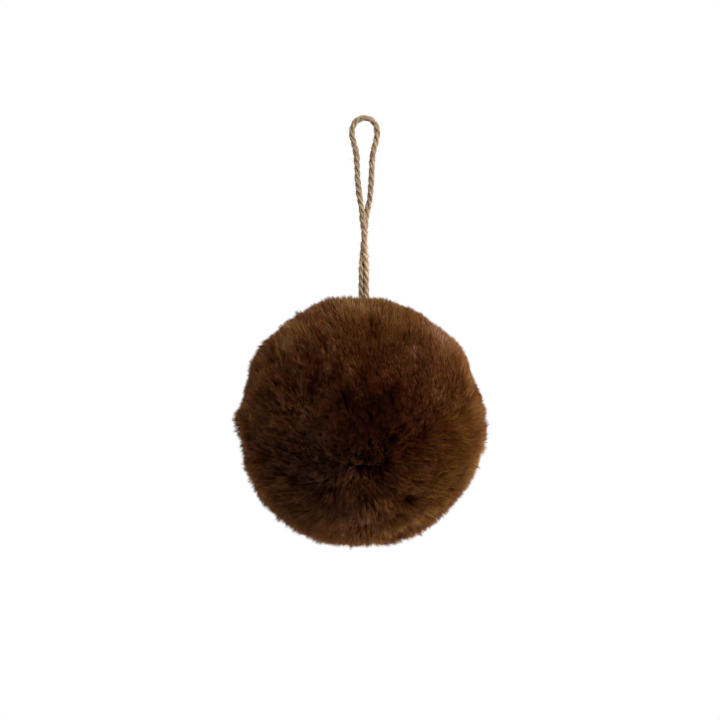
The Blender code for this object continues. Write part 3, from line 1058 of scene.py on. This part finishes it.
# the dark red-brown of the painted shade low on each fibre
ROOT_SHADE_COLOUR = "#3a0c08"
acrylic, tree, shader = new_material("sheared_acrylic_pile")
strip = add_node(tree, "ShaderNodeUVMap", {"uv_map": "OFBake"})
parts = add_node(tree, "ShaderNodeSeparateXYZ", Vector=strip.outputs["UV"])
thirds = add_node(tree, "ShaderNodeMath", {"operation": "MULTIPLY"},
                  _0=parts.outputs["X"], _1=3.0)
tone_value = add_node(tree, "ShaderNodeMath", {"operation": "FRACT"}, _0=thirds.outputs[0])
ramps = [add_node(tree, "ShaderNodeValToRGB", Fac=tone_value.outputs[0],
                  stops=zip(DYE_STOPS, colours)) for colours in DYES]
tip_colour = ramps[RUSSET].outputs["Color"]
for number in (GOLD, ASH):
    beyond = add_node(tree, "ShaderNodeMath", {"operation": "GREATER_THAN"},
                      _0=thirds.outputs[0], _1=float(number))
    chosen = add_node(tree, "ShaderNodeMix", {"data_type": "RGBA"}, _0=beyond.outputs[0],
                      _6=tip_colour, _7=ramps[number].outputs["Color"])
    tip_colour = chosen.outputs[2]
# painted shade: low down a fibre's colour is mixed halfway to a dark red-brown, less so towards its
# tip
rise = add_node(tree, "ShaderNodeMapRange", {"interpolation_type": "SMOOTHSTEP"},
                Value=parts.outputs["Y"], From_Min=0.30, From_Max=1.0, To_Min=0.5, To_Max=1.0)
root_shaded = add_node(tree, "ShaderNodeMix", {"data_type": "RGBA"}, _0=rise.outputs["Result"],
                 _6=hex_colour(ROOT_SHADE_COLOUR), _7=tip_colour)
print("dyes:", len(DYES), "with colours each:", len(DYE_STOPS))

# %% [markdown]
# A fibre is matt low down, where dust and broken ends cling to it, and smoother at its
# clipped tip, and its crimp shows as a fine wave in the bump.  It hardly shines: acrylic
# does in a thick piece, but in a coat the gleams of neighbouring fibres hide each other.

# %% The pile's surface
CRIMP = 0.6 * MM                            # the length of a wave along a fibre
PILE_SPECULAR = 0.08
gloss = add_node(tree, "ShaderNodeMapRange", Value=parts.outputs["Y"],
                 From_Min=0.3, From_Max=1.0, To_Min=0.75, To_Max=0.55)
crimp = add_node(tree, "ShaderNodeTexNoise", Vector=strip.outputs["UV"],
                 Scale=PILE_LENGTH / CRIMP, Detail=1.0)
waved = add_node(tree, "ShaderNodeBump", Strength=0.5, Distance=0.03 * MM,
                 Height=crimp.outputs["Fac"])
fill(shader, Base_Color=root_shaded.outputs[2], Roughness=gloss.outputs["Result"],
     Normal=waved.outputs["Normal"], Specular_IOR_Level=PILE_SPECULAR)
print("waves along a fibre:", round(PILE_LENGTH / CRIMP))

# %% The pile's pieces
PILE_PIECES = 5                             # so that each stays under 200,000 triangles
FIBRE_WIDTH = 0.16 * MM                     # real ones are 0.03 mm: drawn as coarse as shows
TURNED_OUT = 3.0                            # how much more than at random
PILE_SEED = 100                             # of the first piece's turned leaves
facing = TURNED_OUT * tuft_way[whose]
widths = FIBRE_WIDTH * random.uniform(0.7, 1.3, FIBRES)
tips = 1 - shortfall / PILE_LENGTH
order = random.permutation(FIBRES)
for number in range(PILE_PIECES):
    some = order[number::PILE_PIECES]
    piece = fibres(f"pile_{number + 1}", [p[some] for p in (root, bend, tip)], facing[some],
                   widths[some], shade[some], tips[some], bend_share[some],
                   made_of=acrylic, seed=PILE_SEED + number)
    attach(piece, "root")
    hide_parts("fur_ball")
print("fibres:", FIBRES, "triangles:", 2 * FIBRES)

# %% [markdown]
# ## The under-pile
#
# Below the long fibres a real pile is a felt of short and broken ones, so dense and so
# deep in shadow that it reads as one dark lumpy skin.  A ball 8 mm under the cut stands
# for it and for the stuffing inside.  It closes the gaps between the tufts, and it is the
# soft body of the ball.

# %% The under-pile's form
UNDER_DEPTH = 8.0 * MM                      # below the cut
LUMP, LUMP_SIZE = 0.7 * MM, 7 * MM          # how high a lump is, and how wide
form = bmesh.new()
bmesh.ops.create_icosphere(form, subdivisions=5, radius=1.0)
ways = np.array([v.co for v in form.verts])
lumps = LUMP * smooth_noise(ways, LUMP_SIZE, 1, seed=51)[:, 0]
reach = envelope_radius(ways) - UNDER_DEPTH + lumps
for vertex, way, far in zip(form.verts, ways, reach):
    vertex.co = BALL_CENTRE + Vector(way) * far
under_mesh = bpy.data.meshes.new("under_pile")
form.to_mesh(under_mesh)
form.free()
under_mesh.shade_smooth()
under = add_object("under_pile", under_mesh)
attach(under, "root")
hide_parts("fur_ball")
print("the felt is", round(reach.min() / MM, 1), "to", round(reach.max() / MM, 1), "mm out")

# %% The under-pile's felt
FELT_CLUMP = 0.6                            # mm across: broken fibres in small clumps
felt, tree, shader = new_material("felted_under_pile")
place = add_node(tree, "ShaderNodeTexCoord")
clumps = add_node(tree, "ShaderNodeTexNoise", Vector=place.outputs["Object"],
                  Scale=1 / (FELT_CLUMP * MM), Detail=3.0, Roughness=0.6)
# painted shade: the felt is drawn near black, for the shade deep under the pile
felt_in_shade = add_node(tree, "ShaderNodeValToRGB", Fac=clumps.outputs["Fac"],
                stops=((0.3, "#1a0503"), (0.7, "#2e0d06")))
dull = add_node(tree, "ShaderNodeMapRange", Value=clumps.outputs["Fac"],
                From_Min=0.3, From_Max=0.7, To_Min=1.0, To_Max=0.85)
matted = add_node(tree, "ShaderNodeBump", Strength=0.8, Distance=0.3 * MM,
                  Height=clumps.outputs["Fac"])
fill(shader, Base_Color=felt_in_shade.outputs["Color"], Roughness=dull.outputs["Result"],
     Normal=matted.outputs["Normal"], Specular_IOR_Level=0.1)
under_mesh.materials.append(felt)
print("materials of the object:", [made.name for made in (jute, loose_jute, acrylic, felt)])
